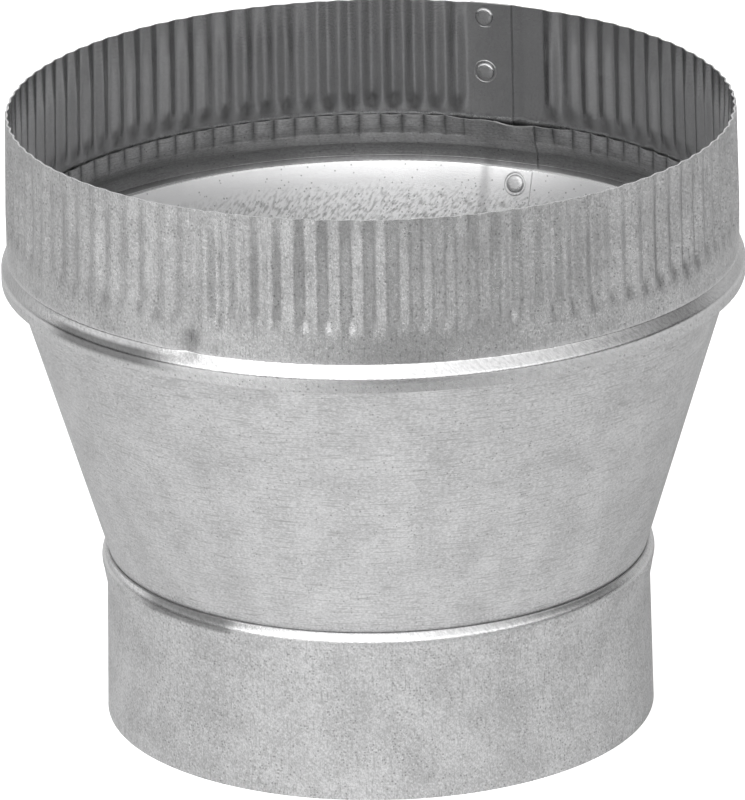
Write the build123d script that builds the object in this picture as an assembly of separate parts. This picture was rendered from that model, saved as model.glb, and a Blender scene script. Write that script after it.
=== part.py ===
from build123d import *
import os
from math import atan2, cos, degrees, pi, radians, sin, sqrt

os.makedirs("parts", exist_ok=True)

# Round sheet-metal duct reducer, in millimetres.
# The origin is on the duct axis in the plane of the plain end, and +Z runs up the axis to the crimped end.
# The lapped seams are at the back, on the +Y side.

# Sheet and laps
sheet = 0.5
nest_gap = 0.1
lap_width = 12.5
lap_gap = 0.05
joggle_width = 5.0
lap_sink = 0.1

# Small end: the plain collar's wall slips over the pipe of the small size and drives what meets it
neck_radius = 76.2
foot_flare = 0.85
foot_radius = neck_radius + foot_flare
foot_land_height = 10.0
plain_bead_rise = 1.3
plain_bead_radius = neck_radius + plain_bead_rise
plain_bead_round = 6.0
plain_bead_height = 46.0
plain_lip = 3.0
plain_collar_height = plain_bead_height + plain_lip
plain_seam_angle = 66.0
plain_button_shares = (0.28, 0.8)

# Large end: the crimped collar's wall enters the pipe of the large size and drives what meets it
collar_radius = 101.45

# Tapered body
skirt_reach = 7.5
skirt_height = plain_bead_height - skirt_reach
lock_rise = 2.5
lock_height = plain_bead_height + lock_rise
cone_foot_inset = 0.45
cone_foot_radius = neck_radius - cone_foot_inset
cone_foot_rise = 3.2
cone_foot_height = plain_bead_height + cone_foot_rise
cone_top_inset = 2.35
cone_top_radius = collar_radius - cone_top_inset
cone_top_height = 126.8
body_seam_angle = 62.0
body_button_angle = 64.8
body_button_top_margin = 4.0
body_button_foot_margin = 10.8

# Bead of the upper joint, rolled through the collar and the body inside it
bead_depth = 1.7
bead_radius = collar_radius + bead_depth
bead_underside_rise = 0.3
bead_underside_height = cone_top_height + bead_underside_rise
bead_land = 4.3
bead_shoulder_height = bead_underside_height + bead_land
bead_slope = 3.5
bead_top_height = bead_shoulder_height + bead_slope
bead_underside_round = 0.7
bead_shoulder_round = 3.0
bead_top_round = 1.5

# Flange of the body, with the imprints of the crimping rolls on its inside
flange_length = 5.5
flange_height = bead_top_height + flange_length
imprint_width = 2.6
imprint_depth = 0.35
imprint_offset = 0.3
imprint_start_height = bead_top_height + imprint_offset

# Crimped collar
rim_draw = 0.7
rim_radius = collar_radius - rim_draw
collar_edge_margin = 0.5
collar_edge_height = bead_underside_height + collar_edge_margin
crimp_clearance = 1.6
crimp_start_height = flange_height + crimp_clearance
crimp_run_out = 5.0
crimp_full_height = crimp_start_height + crimp_run_out
rim_height = 175.0
crimp_count = 98
crimp_depth = 1.2
crimp_start_margin = 1.0
crimp_end_margin = 10.0
collar_seam_angle = 66.2
collar_button_angle = 70.8
collar_button_share = 0.376
collar_button_rim_margin = 4.0

# Clinched buttons that hold the laps
button_radius = 2.7
button_rise = 0.9
button_recess_radius = 1.8
button_recess_depth = 1.1
button_sink = 0.1

# Fineness of the rolled outlines, and the difference in length under which two edges are alike
samples_per_crimp = 4
plain_bead_steps = 4
bead_arc_steps = 3
alike_length = 1e-4


def polar(radius, angle, height):
    """Point at a distance from the duct axis, with the angle in radians."""
    return (radius * cos(angle), radius * sin(angle), height)


def crimped_span(wall_radius):
    """Angles from the seam, in radians, at which the crimps of a rolled strip start and end."""
    first = (lap_width + crimp_start_margin) / wall_radius
    last = 2 * pi - crimp_end_margin / wall_radius
    return first, last


def rolled_outline(height, radius, wall_radius, seam_angle, wave_depth=0.0, crimped=False):
    """Outline of a strip rolled round the axis, with its end joggled out over its start.

    The strip has an outer radius at this height, and a wall radius that its angles are worked out from.
    Its crimps are waves that reach inward by the wave's depth.
    """
    seam = radians(seam_angle)
    lap = lap_width / wall_radius
    joggle_start = 2 * pi - joggle_width / wall_radius
    first, last = crimped_span(wall_radius)
    step = sheet + lap_gap

    def arc(distance, begin, end):
        ends = [polar(distance, seam + turn, height) for turn in (begin, (begin + end) / 2, end)]
        return ThreePointArc(*ends)

    def waves(distance):
        samples = samples_per_crimp * crimp_count
        points = []
        for k in range(samples + 1):
            reach = wave_depth * (1 - cos(2 * pi * k / samples_per_crimp)) / 2
            points.append(polar(distance - reach, seam + first + (last - first) * k / samples, height))
        return Spline(*points)

    def along(turn):
        return (-sin(seam + turn), cos(seam + turn), 0)

    def wall(distance):
        inner_layer = arc(distance, 0, first)
        main = waves(distance) if crimped else arc(distance, first, last)
        flat = arc(distance, last, joggle_start)
        outer_layer = arc(distance + step, 2 * pi, 2 * pi + lap)
        joggle = Spline(flat @ 1, outer_layer @ 0, tangents=[along(joggle_start), along(2 * pi)])
        return [inner_layer, main, flat, joggle, outer_layer]

    outer = wall(radius)
    inner = wall(radius - sheet)
    start_edge = Line(outer[0] @ 0, inner[0] @ 0)
    end_edge = Line(outer[-1] @ 1, inner[-1] @ 1)
    return outer + [end_edge] + inner + [start_edge]


def wall_face(lower, upper):
    """Face from an edge to the one above it, extruded where the two are alike and ruled where they differ."""
    if abs(upper.length - lower.length) < alike_length:
        return Face.extrude(lower, upper @ 0.5 - lower @ 0.5)
    return Face.make_surface_from_curves(lower, upper)


def rolled_solid(outlines):
    """Solid whose walls run from each outline's edges to the next outline's."""
    faces = [Face(Wire(outlines[0])), Face(Wire(outlines[-1]))]
    for lower, upper in zip(outlines, outlines[1:]):
        faces += [wall_face(a.edge(), b.edge()) for a, b in zip(lower, upper)]
    return Solid(Shell(faces))


def wall_plane(radius, angle, height, tilt=0.0):
    """Plane on a wall's outer face, its Z along the outward normal, which is tilted up by some degrees."""
    turn = radians(angle)
    rise = radians(tilt)
    normal = (cos(turn) * cos(rise), sin(turn) * cos(rise), sin(rise))
    return Plane(origin=polar(radius, turn, height), x_dir=(-sin(turn), cos(turn), 0), z_dir=normal)


def clinched(wall, face, thickness, raised_inside):
    """Wall with a round button pressed through its lap, raised on one side and hollow on the other."""
    near, inward = (face, -1) if raised_inside else (face.offset(-thickness), 1)
    button = extrude(near.offset(inward * button_sink) * Circle(button_radius),
                     amount=inward * (thickness - button_sink + button_rise))
    hollow = extrude(near.offset(-inward * button_recess_depth) * Circle(button_recess_radius),
                     amount=inward * 2 * button_recess_depth)
    return wall + button - hollow


def plain_bead_at(height, inset=0.0):
    """Radius of the plain collar's bead at a height, or of a sheet nested inside it."""
    centre = plain_bead_radius - plain_bead_round
    return centre + sqrt((plain_bead_round - inset) ** 2 - (height - plain_bead_height) ** 2)


def plain_bead_start(wall_radius, inset=0.0):
    """Height at which the plain collar's bead rises from a wall."""
    centre = plain_bead_radius - plain_bead_round
    return plain_bead_height - sqrt((plain_bead_round - inset) ** 2 - (wall_radius - centre) ** 2)


def make_plain_collar():
    """Rolled strip with a straight foot, a slight taper and a bead at its upper edge."""
    bead_start = plain_bead_start(neck_radius)
    stations = [(0.0, foot_radius), (foot_land_height, foot_radius), (bead_start, neck_radius)]
    for k in range(1, plain_bead_steps + 1):
        height = bead_start + (plain_collar_height - bead_start) * k / plain_bead_steps
        stations.append((height, plain_bead_at(height)))
    outlines = [
        rolled_outline(height, radius, neck_radius, plain_seam_angle)
        for height, radius in stations
    ]
    collar = rolled_solid(outlines)
    lap_middle = plain_seam_angle + degrees(lap_width / neck_radius) / 2
    lap_thickness = 2 * sheet + lap_gap
    taper = (foot_radius - neck_radius) / (bead_start - foot_land_height)
    for share in plain_button_shares:
        height = share * skirt_height
        narrowing = taper * max(0.0, height - foot_land_height)
        face_radius = foot_radius - narrowing + sheet + lap_gap
        face = wall_plane(face_radius, lap_middle, height)
        collar = clinched(collar, face, lap_thickness, raised_inside=False)
    return collar


def bead_corners(inset=0.0):
    """Shoulder and top corner of the upper joint's bead, or of a sheet nested inside it."""
    return [
        (bead_radius - inset, bead_shoulder_height),
        (collar_radius - inset, bead_top_height),
    ]


def body_line():
    """Outer line of the tapered body, from its skirt to its flange."""
    nest = sheet + nest_gap
    skirt_radius = neck_radius - nest
    lock_start = (skirt_radius, plain_bead_start(skirt_radius, nest))
    lock_crest = (plain_bead_radius - nest, plain_bead_height)
    lock_end = (plain_bead_at(lock_height, nest), lock_height)
    skirt = Line((skirt_radius, skirt_height), lock_start)
    lock = ThreePointArc(lock_start, lock_crest, lock_end)
    wall = FilletPolyline(
        lock_end,
        (cone_foot_radius, cone_foot_height),
        (cone_top_radius, cone_top_height),
        (bead_radius - nest, bead_underside_height),
        *bead_corners(nest),
        (collar_radius - nest, flange_height),
        radius=[0, 0, bead_underside_round, bead_shoulder_round, bead_top_round],
    )
    return Wire(skirt.edges() + lock.edges() + wall.edges())


def sheet_section(line, thickness):
    """Section of a sheet of some thickness inside a line, in the plane of the axis."""
    closed = line.offset_2d(thickness, kind=Kind.INTERSECTION, side=Side.LEFT, closed=True)
    return Plane.XZ * Face(closed)


def flange_imprints():
    """Grooves that the crimping rolls leave in the flange, one under each crimp, running out downward."""
    flange_face = collar_radius - nest_gap - 2 * sheet
    length = flange_height - imprint_start_height
    deepest = imprint_depth * (length + sheet) / length
    half_width = imprint_width / 2 * (length + sheet) / length
    mouth = Plane(origin=(flange_face, 0, flange_height + sheet))
    corners = [(-nest_gap, -half_width), (deepest, 0), (-nest_gap, half_width)]
    notch = mouth * Polyline(*corners, close=True)
    groove = Solid.make_loft([notch.wire(), Vertex(flange_face, 0, imprint_start_height)])
    first, last = crimped_span(collar_radius)
    pitch = degrees(last - first) / crimp_count
    first_valley = collar_seam_angle + degrees(first) + pitch / 2
    return [Rot(Z=first_valley + pitch * k) * groove for k in range(crimp_count)]


def make_tapered_body():
    """Cone with a bead and flange at its top and a bulged skirt at its foot, lapped at the back."""
    line = body_line()
    body = revolve(sheet_section(line, sheet), Axis.Z)
    lap_angle = degrees(lap_width / cone_top_radius)
    lap_section = sheet_section(line, 2 * sheet) - sheet_section(line, sheet - lap_sink)
    lap = revolve(lap_section, Axis.Z, lap_angle)
    body = body + Rot(Z=body_seam_angle) * lap
    slope = (cone_top_radius - cone_foot_radius) / (cone_top_height - cone_foot_height)
    tilt = -degrees(atan2(slope, 1))
    for height in (cone_foot_height + body_button_foot_margin, cone_top_height - body_button_top_margin):
        face_radius = cone_foot_radius + slope * (height - cone_foot_height)
        face = wall_plane(face_radius, body_button_angle, height, tilt)
        body = clinched(body, face, 2 * sheet, raised_inside=True)
    return body - flange_imprints()


def collar_foot_stations():
    """Height and radius of the collar's outlines below its crimps, with the bead's arcs in short steps."""
    foot = FilletPolyline(
        (bead_radius, collar_edge_height),
        *bead_corners(),
        (collar_radius, crimp_start_height),
        radius=[bead_shoulder_round, bead_top_round],
    )
    spots = [foot @ 0]
    for edge in foot.edges().sort_by(Axis.Y):
        steps = bead_arc_steps if edge.geom_type == GeomType.CIRCLE else 1
        spots += [edge @ (k / steps) for k in range(1, steps + 1)]
    return [(spot.Y, spot.X) for spot in spots]


def make_crimped_collar():
    """Rolled strip with a bead over the body's bead, and crimps from there to its rim."""
    stations = [(height, radius, 0.0) for height, radius in collar_foot_stations()]
    stations += [
        (crimp_full_height, collar_radius, crimp_depth),
        (rim_height, rim_radius, crimp_depth),
    ]
    outlines = [
        rolled_outline(height, radius, collar_radius, collar_seam_angle, depth, crimped=True)
        for height, radius, depth in stations
    ]
    collar = rolled_solid(outlines)
    taper = (collar_radius - rim_radius) / (rim_height - crimp_full_height)
    lower_button = crimp_start_height + collar_button_share * (rim_height - crimp_start_height)
    for height in (lower_button, rim_height - collar_button_rim_margin):
        face_radius = collar_radius - taper * (height - crimp_full_height) + sheet + lap_gap
        face = wall_plane(face_radius, collar_button_angle, height)
        collar = clinched(collar, face, 2 * sheet + lap_gap, raised_inside=True)
    return collar


nodes = {
    "plain_collar": make_plain_collar(),
    "tapered_body": make_tapered_body(),
    "crimped_collar": make_crimped_collar(),
}
for name, solid in nodes.items():
    export_step(solid, f"parts/{name}.step")
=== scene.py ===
"""Round duct reducer of galvanised sheet: three rolled shells, their crimps, beads and clinched laps."""
import logging
import math
from dataclasses import dataclass
from enum import Enum
from typing import Any, Optional, Sequence

import bpy
import numpy as np
from mathutils import Matrix, Vector


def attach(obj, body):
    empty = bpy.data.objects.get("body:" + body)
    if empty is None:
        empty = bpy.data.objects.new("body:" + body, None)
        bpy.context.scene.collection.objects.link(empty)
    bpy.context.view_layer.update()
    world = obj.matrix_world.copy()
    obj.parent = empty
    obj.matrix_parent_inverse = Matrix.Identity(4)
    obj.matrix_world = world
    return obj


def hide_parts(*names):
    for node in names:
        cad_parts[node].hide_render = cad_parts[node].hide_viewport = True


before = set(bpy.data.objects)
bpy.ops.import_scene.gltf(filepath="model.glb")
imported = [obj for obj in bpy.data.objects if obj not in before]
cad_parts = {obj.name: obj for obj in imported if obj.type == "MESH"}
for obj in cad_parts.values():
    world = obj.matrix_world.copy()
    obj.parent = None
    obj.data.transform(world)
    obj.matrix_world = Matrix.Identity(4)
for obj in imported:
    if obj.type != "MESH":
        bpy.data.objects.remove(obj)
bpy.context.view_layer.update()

LOG = logging.getLogger("duct_reducer")
BODY = "root"
MM = 0.001
FULL_TURN = 2 * math.pi
SHARP_ANGLE = math.radians(48)
WHITE = (1.0, 1.0, 1.0, 1.0)
ZINC_COOLNESS = 1.006

# Sheet and laps, in millimetres
SHEET = 0.5
LAP_WIDTH = 12.5
LAP_GAP = 0.05

# Bead that is rolled through the crimped collar and the body inside it
NEST = 0.6
BEAD_RADIUS = 103.15
BEAD_SHOULDER = 131.4
BEAD_SHOULDER_ROUND = 3.0
BEAD_TOP = 134.9
BEAD_TOP_ROUND = 1.5
COLLAR_RADIUS = 101.45
FLANGE_HEIGHT = 140.4
CRIMP_COUNT = 98

# Bead that grips the body's bulge at the small end
NECK_RADIUS = 76.2
LOCK_CENTRE = (73.0, 45.3)

# Waves that the rolls press into a strip, with painted shade in their hollows
WAVE_SIZES = ("First", "Last", "Count", "Depth", "Start", "Full", "Narrowing", "Scatter", "Start scatter",
              "Flatness", "Rim", "Rim share", "Soil")
CREST_ROUND = 0.97
RIM_FADE = 12.0
START_SEED_STEP = 7.0

# Distance between the outer and the inner wall in the finish's pattern
INNER_PATTERN_SHIFT = 400.0


class LapStyle(Enum):
    """Which end of a rolled strip steps aside at its lap."""

    END_OUTSIDE = "the end steps out over the start"
    START_INSIDE = "the start steps in under the end"


class Facing(Enum):
    """Side of the sheet that a clinched button stands on."""

    INSIDE = -1
    OUTSIDE = 1


def smooth(value: np.ndarray) -> np.ndarray:
    """Eases values from 0 to 1, and holds them at the ends."""
    share = np.clip(value, 0.0, 1.0)
    return share * share * (3 - 2 * share)


def azimuth(angle: np.ndarray) -> np.ndarray:
    """Angles round the duct in degrees from -180 to 180, with the front at -90."""
    return (np.degrees(angle) + 180.0) % 360.0 - 180.0


@dataclass(frozen=True)
class Band:
    """Stretch between two limits, with a soft run-in at each."""

    low: float
    high: float
    low_soft: float
    high_soft: float

    def share(self, value: np.ndarray) -> np.ndarray:
        """How far values lie inside the band, from 0 to 1."""
        return smooth((value - self.low) / self.low_soft) * smooth((self.high - value) / self.high_soft)


@dataclass(frozen=True)
class Hump:
    """Soft rise that runs out on both sides of its middle."""

    middle: float
    half_width: float

    def share(self, value: np.ndarray) -> np.ndarray:
        """How high the hump stands at values, from 0 to 1."""
        return smooth(1 - np.abs((value - self.middle) / self.half_width))


class NodeCanvas:
    """Adds nodes and links to a node tree in short calls."""

    def __init__(self, tree: bpy.types.NodeTree) -> None:
        """Keeps the tree to draw on."""
        self.tree = tree

    def feed(self, socket: bpy.types.NodeSocket, value: Any) -> None:
        """Links an output to an input, or sets the input's own value.

        Args:
            socket: the input.
            value: an output, or a plain value.
        """
        if isinstance(value, bpy.types.NodeSocket):
            self.tree.links.new(value, socket)
        else:
            socket.default_value = value

    def add(self, kind: str, inputs: Optional[dict] = None, **settings: Any) -> bpy.types.Node:
        """Adds a node.

        Args:
            kind: Blender's name of the node type.
            inputs: values or outputs, by the input's name or number.
            settings: properties of the node.

        Returns:
            The new node.
        """
        node = self.tree.nodes.new(kind)
        for key, value in settings.items():
            setattr(node, key, value)
        for key, value in (inputs or {}).items():
            self.feed(node.inputs[key], value)
        return node

    def math(self, operation: str, *values: Any) -> bpy.types.NodeSocket:
        """Adds a Math node and returns its result."""
        return self.add("ShaderNodeMath", dict(enumerate(values)), operation=operation).outputs[0]

    def chain(self, operation: str, *values: Any) -> bpy.types.NodeSocket:
        """Runs one Math operation through a row of values.

        Args:
            operation: Blender's name of the operation.
            values: two or more values or outputs.

        Returns:
            The result.
        """
        result = values[0]
        for value in values[1:]:
            result = self.math(operation, result, value)
        return result

    def vector(self, operation: str, *values: Any) -> bpy.types.NodeSocket:
        """Adds a Vector Math node and returns its vector."""
        return self.add("ShaderNodeVectorMath", dict(enumerate(values)), operation=operation).outputs[0]

    def noise(self, place: Any, scale: float, detail: float = 2.0,
              roughness: float = 0.5) -> bpy.types.NodeSocket:
        """Adds a noise texture and returns its level."""
        values = {"Vector": place, "Scale": scale, "Detail": detail, "Roughness": roughness}
        return self.add("ShaderNodeTexNoise", values).outputs[0]

    def ranged(self, value: Any, low: Any, high: Any, to_low: Any = 0.0, to_high: Any = 1.0,
               eased: bool = False) -> bpy.types.NodeSocket:
        """Adds a Map Range node.

        Args:
            value: what is mapped.
            low: value that gives to_low.
            high: value that gives to_high.
            to_low: result at the low end.
            to_high: result at the high end.
            eased: whether the ends are eased.

        Returns:
            The mapped value.
        """
        ends = {"Value": value, "From Min": low, "From Max": high, "To Min": to_low, "To Max": to_high}
        kind = "SMOOTHSTEP" if eased else "LINEAR"
        return self.add("ShaderNodeMapRange", ends, interpolation_type=kind).outputs["Result"]

    def mixed(self, factor: Any, first: Any, second: Any) -> bpy.types.NodeSocket:
        """Adds a colour mix and returns its result."""
        return self.add("ShaderNodeMix", {0: factor, 6: first, 7: second}, data_type="RGBA").outputs[2]


def cleared(owner: Any) -> NodeCanvas:
    """Empties the node tree of a material or world.

    Args:
        owner: the material or world.

    Returns:
        The canvas of its tree.
    """
    owner.use_nodes = True
    owner.node_tree.nodes.clear()
    return NodeCanvas(owner.node_tree)


def node_group(name: str, kind: str, inputs: Sequence[tuple[str, str]],
               outputs: Sequence[tuple[str, str]]) -> tuple[NodeCanvas, Any]:
    """Makes a node group with named sockets.

    Args:
        name: name of the group.
        kind: Blender's name of the tree type.
        inputs: name and kind of each input.
        outputs: name and kind of each output.

    Returns:
        The group's canvas, and what its inputs give.
    """
    tree = bpy.data.node_groups.new(name, kind)
    for direction, sockets in (("INPUT", inputs), ("OUTPUT", outputs)):
        for socket, value in sockets:
            tree.interface.new_socket(name=socket, in_out=direction, socket_type="NodeSocket" + value)
    canvas = NodeCanvas(tree)
    return canvas, canvas.add("NodeGroupInput").outputs


def grey(level: float) -> tuple[float, float, float, float]:
    """Colour of zinc at one level, a trace cooler than neutral."""
    return (level, level, level * ZINC_COOLNESS, 1.0)


class ZincEffects:
    """Shader groups that the sheet finishes share, each made once."""

    fine_share: float = 1.3
    crystal_share: float = 0.16
    cloud_share: float = 0.5
    crystal_cells: float = 1500.0
    cloud_scale: float = 70.0
    streak_low: float = 0.72
    streak_high: float = 0.74
    clump_scale: float = 110.0
    clump_limits: tuple[float, float] = (0.35, 0.75)
    clump_crowd: tuple[float, float] = (0.1, 2.0)
    speck_edge: tuple[float, float] = (0.45, 0.2)

    def __init__(self) -> None:
        """Builds the groups."""
        self.spangle = self._spangle()
        self.streaks = self._streaks()
        self.specks = self._specks()

    def _spangle(self) -> bpy.types.NodeTree:
        """Fine zinc grain: a tone about one half, and a relief.

        Returns:
            The group.
        """
        canvas, given = node_group(
            "zinc_spangle", "ShaderNodeTree",
            (("Place", "Vector"), ("Grain", "Vector"), ("Contrast", "Float")),
            (("Tone", "Float"), ("Relief", "Float")))
        place = given["Place"]
        drawn = canvas.vector("MULTIPLY", place, given["Grain"])
        fine = canvas.noise(drawn, 1.0, detail=4.0, roughness=0.7)
        crystals = canvas.add("ShaderNodeTexVoronoi", {"Vector": place, "Scale": self.crystal_cells})
        crystal = canvas.add("ShaderNodeSeparateColor", {0: crystals.outputs["Color"]}).outputs[0]
        clouds = canvas.noise(place, self.cloud_scale, detail=4.0)
        parts = canvas.math("MULTIPLY", crystal, self.crystal_share)
        parts = canvas.math("MULTIPLY_ADD", fine, self.fine_share, parts)
        parts = canvas.math("MULTIPLY_ADD", clouds, self.cloud_share, parts)
        middle = (self.fine_share + self.crystal_share + self.cloud_share) / 2
        level = canvas.math("SUBTRACT", parts, middle)
        tone = canvas.math("MULTIPLY_ADD", level, given["Contrast"], 0.5)
        canvas.add("NodeGroupOutput", {"Tone": tone, "Relief": fine})
        return canvas.tree

    def _streaks(self) -> bpy.types.NodeTree:
        """Scuffs drawn out along the sheet.

        Returns:
            The group.
        """
        canvas, given = node_group(
            "drawn_streaks", "ShaderNodeTree",
            (("Place", "Vector"), ("Stretch", "Vector"), ("Share", "Float")),
            (("Streak", "Float"),))
        noise = canvas.noise(canvas.vector("MULTIPLY", given["Place"], given["Stretch"]), 1.0)
        low = canvas.math("SUBTRACT", self.streak_low, given["Share"])
        canvas.add("NodeGroupOutput", {"Streak": canvas.ranged(noise, low, self.streak_high)})
        return canvas.tree

    def _specks(self) -> bpy.types.NodeTree:
        """Scattered dark pin specks.

        Returns:
            The group.
        """
        canvas, given = node_group(
            "pin_specks", "ShaderNodeTree",
            (("Place", "Vector"), ("Cells", "Float"), ("Share", "Float")),
            (("Speck", "Float"),))
        dots = canvas.add("ShaderNodeTexVoronoi", {"Vector": given["Place"], "Scale": given["Cells"]})
        chance = canvas.add("ShaderNodeSeparateColor", {0: dots.outputs["Color"]}).outputs[1]
        clump = canvas.noise(given["Place"], self.clump_scale)
        crowd = canvas.ranged(clump, *self.clump_limits, *self.clump_crowd)
        chosen = canvas.math("LESS_THAN", chance, canvas.math("MULTIPLY", crowd, given["Share"]))
        dot = canvas.ranged(dots.outputs["Distance"], *self.speck_edge)
        canvas.add("NodeGroupOutput", {"Speck": canvas.math("MULTIPLY", chosen, dot)})
        return canvas.tree


@dataclass(frozen=True)
class ZincFinish:
    """Dull galvanised sheet with burnished beads."""

    name: str
    dark: float
    light: float
    roughness: float
    burnished_level: float
    grain: tuple[float, float, float]
    contrast: float
    stretch: tuple[float, float, float]
    streak_share: float
    streak_level: float
    speck_share: float
    burnished_roughness: float = 0.1
    roughness_swing: float = 0.06
    speck_cells: float = 1300.0
    speck_strength: float = 0.7
    grit_specks: float = 0.1
    mottle_lean: float = 0.75
    mottle_size: tuple[float, float, float] = (0.0008, 0.002, 1.0)
    mottle_limits: tuple[float, float] = (0.44, 0.66)
    mottle_share: float = 0.65
    stain_share: float = 0.5
    # Colour that the painted shade darkens the zinc towards
    shade_level: float = 0.05
    relief: float = 0.3
    relief_height: float = 0.0002

    def material(self, effects: ZincEffects) -> bpy.types.Material:
        """Makes the finish's material.

        Args:
            effects: the shared shader groups.

        Returns:
            The material.
        """
        material = bpy.data.materials.new(self.name)
        canvas = cleared(material)
        place = canvas.add("ShaderNodeAttribute", attribute_name="sheet_place").outputs["Vector"]
        bright, polish, soil, grit = (canvas.add("ShaderNodeAttribute", attribute_name=name).outputs["Fac"]
                                      for name in ("bright", "polish", "soil", "grit"))
        spangle = canvas.add("ShaderNodeGroup", {
            "Place": place, "Grain": self.grain, "Contrast": self.contrast}, node_tree=effects.spangle)
        streaks = canvas.add("ShaderNodeGroup", {
            "Place": place, "Stretch": self.stretch, "Share": self.streak_share}, node_tree=effects.streaks)
        crowd = canvas.math("MULTIPLY_ADD", grit, self.grit_specks, self.speck_share)
        specks = canvas.add("ShaderNodeGroup", {
            "Place": place, "Cells": self.speck_cells, "Share": crowd}, node_tree=effects.specks)
        tone = spangle.outputs["Tone"]
        colour = canvas.mixed(tone, grey(self.dark), grey(self.light))
        colour = canvas.mixed(streaks.outputs["Streak"], colour, grey(self.streak_level))
        colour = canvas.mixed(bright, colour, grey(self.burnished_level))
        stained = grey(self.dark * self.stain_share)
        leaning = canvas.add("ShaderNodeMapping", {
            "Vector": place, "Rotation": (0.0, 0.0, self.mottle_lean), "Scale": self.mottle_size},
            vector_type="TEXTURE").outputs[0]
        mottle = canvas.ranged(canvas.noise(leaning, 1.0), *self.mottle_limits, 0.0, self.mottle_share)
        colour = canvas.mixed(canvas.math("MULTIPLY", mottle, grit), colour, stained)
        bare = canvas.ranged(polish, 0.0, 1.0, self.speck_strength, 0.0)
        colour = canvas.mixed(canvas.math("MULTIPLY", specks.outputs["Speck"], bare), colour, stained)
        # Painted shade: the stored shade attribute darkens the zinc towards a near black
        colour = canvas.mixed(soil, colour, grey(self.shade_level))
        rough = canvas.ranged(tone, 0.0, 1.0, self.roughness + self.roughness_swing,
                              self.roughness - self.roughness_swing)
        rough = canvas.ranged(polish, 0.0, 1.0, rough, self.burnished_roughness)
        relief = canvas.add("ShaderNodeBump", {"Strength": self.relief, "Distance": self.relief_height,
                                               "Height": spangle.outputs["Relief"]})
        shader = canvas.add("ShaderNodeBsdfPrincipled", {
            "Base Color": colour, "Metallic": 1.0, "Roughness": rough, "Normal": relief.outputs[0]})
        canvas.add("ShaderNodeOutputMaterial", {"Surface": shader.outputs[0]})
        return material


COLLAR_ZINC = ZincFinish(
    name="crimped_collar_zinc", dark=0.44, light=0.76, roughness=0.31, burnished_level=0.85,
    grain=(2300.0, 1500.0, 1.0), contrast=2.4, stretch=(1700.0, 160.0, 1.0), streak_share=0.16,
    streak_level=0.42, speck_share=0.12)
BODY_ZINC = ZincFinish(
    name="tapered_body_zinc", dark=0.48, light=0.8, roughness=0.38, burnished_level=0.92,
    grain=(1000.0, 2300.0, 1.0), contrast=2.0, stretch=(120.0, 2100.0, 1.0), streak_share=0.18,
    streak_level=0.44, speck_share=0.06)
PLAIN_ZINC = ZincFinish(
    name="plain_collar_zinc", dark=0.48, light=0.8, roughness=0.38, burnished_level=0.85,
    grain=(2300.0, 1600.0, 1.0), contrast=2.5, stretch=(1700.0, 220.0, 1.0), streak_share=0.14,
    streak_level=0.44, speck_share=0.2)


def arc(centre: tuple[float, float], radius: float, turns: tuple[float, float], points: int) -> np.ndarray:
    """Points of an arc, as radius and height.

    Args:
        centre: radius and height of its centre, in millimetres.
        radius: its own radius.
        turns: angles of its ends, in degrees from level.
        points: how many points it has.

    Returns:
        Radius and height of each point.
    """
    turn = np.radians(np.linspace(*turns, points))
    return np.stack([centre[0] + radius * np.cos(turn), centre[1] + radius * np.sin(turn)], axis=1)


def rounded_line(corners: Sequence[tuple[float, float, float]], step: float, arc_parts: int) -> np.ndarray:
    """Line through corners, with arcs at the rounded ones.

    Args:
        corners: radius, height and round of each corner, in millimetres.
        step: longest straight piece.
        arc_parts: pieces in each arc.

    Returns:
        Radius and height of each point.
    """
    spots = [np.array(corner[:2]) for corner in corners]
    bends = []
    for k, corner in enumerate(corners):
        spot = spots[k]
        if corner[2] == 0.0:
            bends.append([spot])
            continue
        before = (spots[k - 1] - spot) / np.linalg.norm(spots[k - 1] - spot)
        after = (spots[k + 1] - spot) / np.linalg.norm(spots[k + 1] - spot)
        half = math.acos(float(before @ after)) / 2
        middle = (before + after) / np.linalg.norm(before + after)
        centre = spot + middle * corner[2] / math.sin(half)
        reach = corner[2] / math.tan(half)
        ends = (spot + before * reach - centre, spot + after * reach - centre)
        turned = [ends[0] * (1 - share) + ends[1] * share for share in np.linspace(0, 1, arc_parts + 1)]
        bends.append([centre + arm / np.linalg.norm(arm) * corner[2] for arm in turned])
    points = list(bends[0])
    for bend in bends[1:]:
        gap = bend[0] - points[-1]
        parts = max(1, math.ceil(np.linalg.norm(gap) / step))
        start = points[-1]
        points += [start + gap * k / parts for k in range(1, parts)]
        points += bend
    return np.array(points)


def end_tree(canvas: NodeCanvas, geometry: bpy.types.NodeSocket, material: bpy.types.NodeSocket) -> None:
    """Ends a Geometry Nodes tree with plain geometry in one material.

    Args:
        canvas: the tree's canvas.
        geometry: what the tree has made.
        material: the material that it gets.
    """
    whole = canvas.add("GeometryNodeRealizeInstances", {0: geometry}).outputs[0]
    dressed = canvas.add("GeometryNodeSetMaterial", {"Geometry": whole, "Material": material})
    canvas.add("NodeGroupOutput", {0: dressed.outputs[0]})


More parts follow.
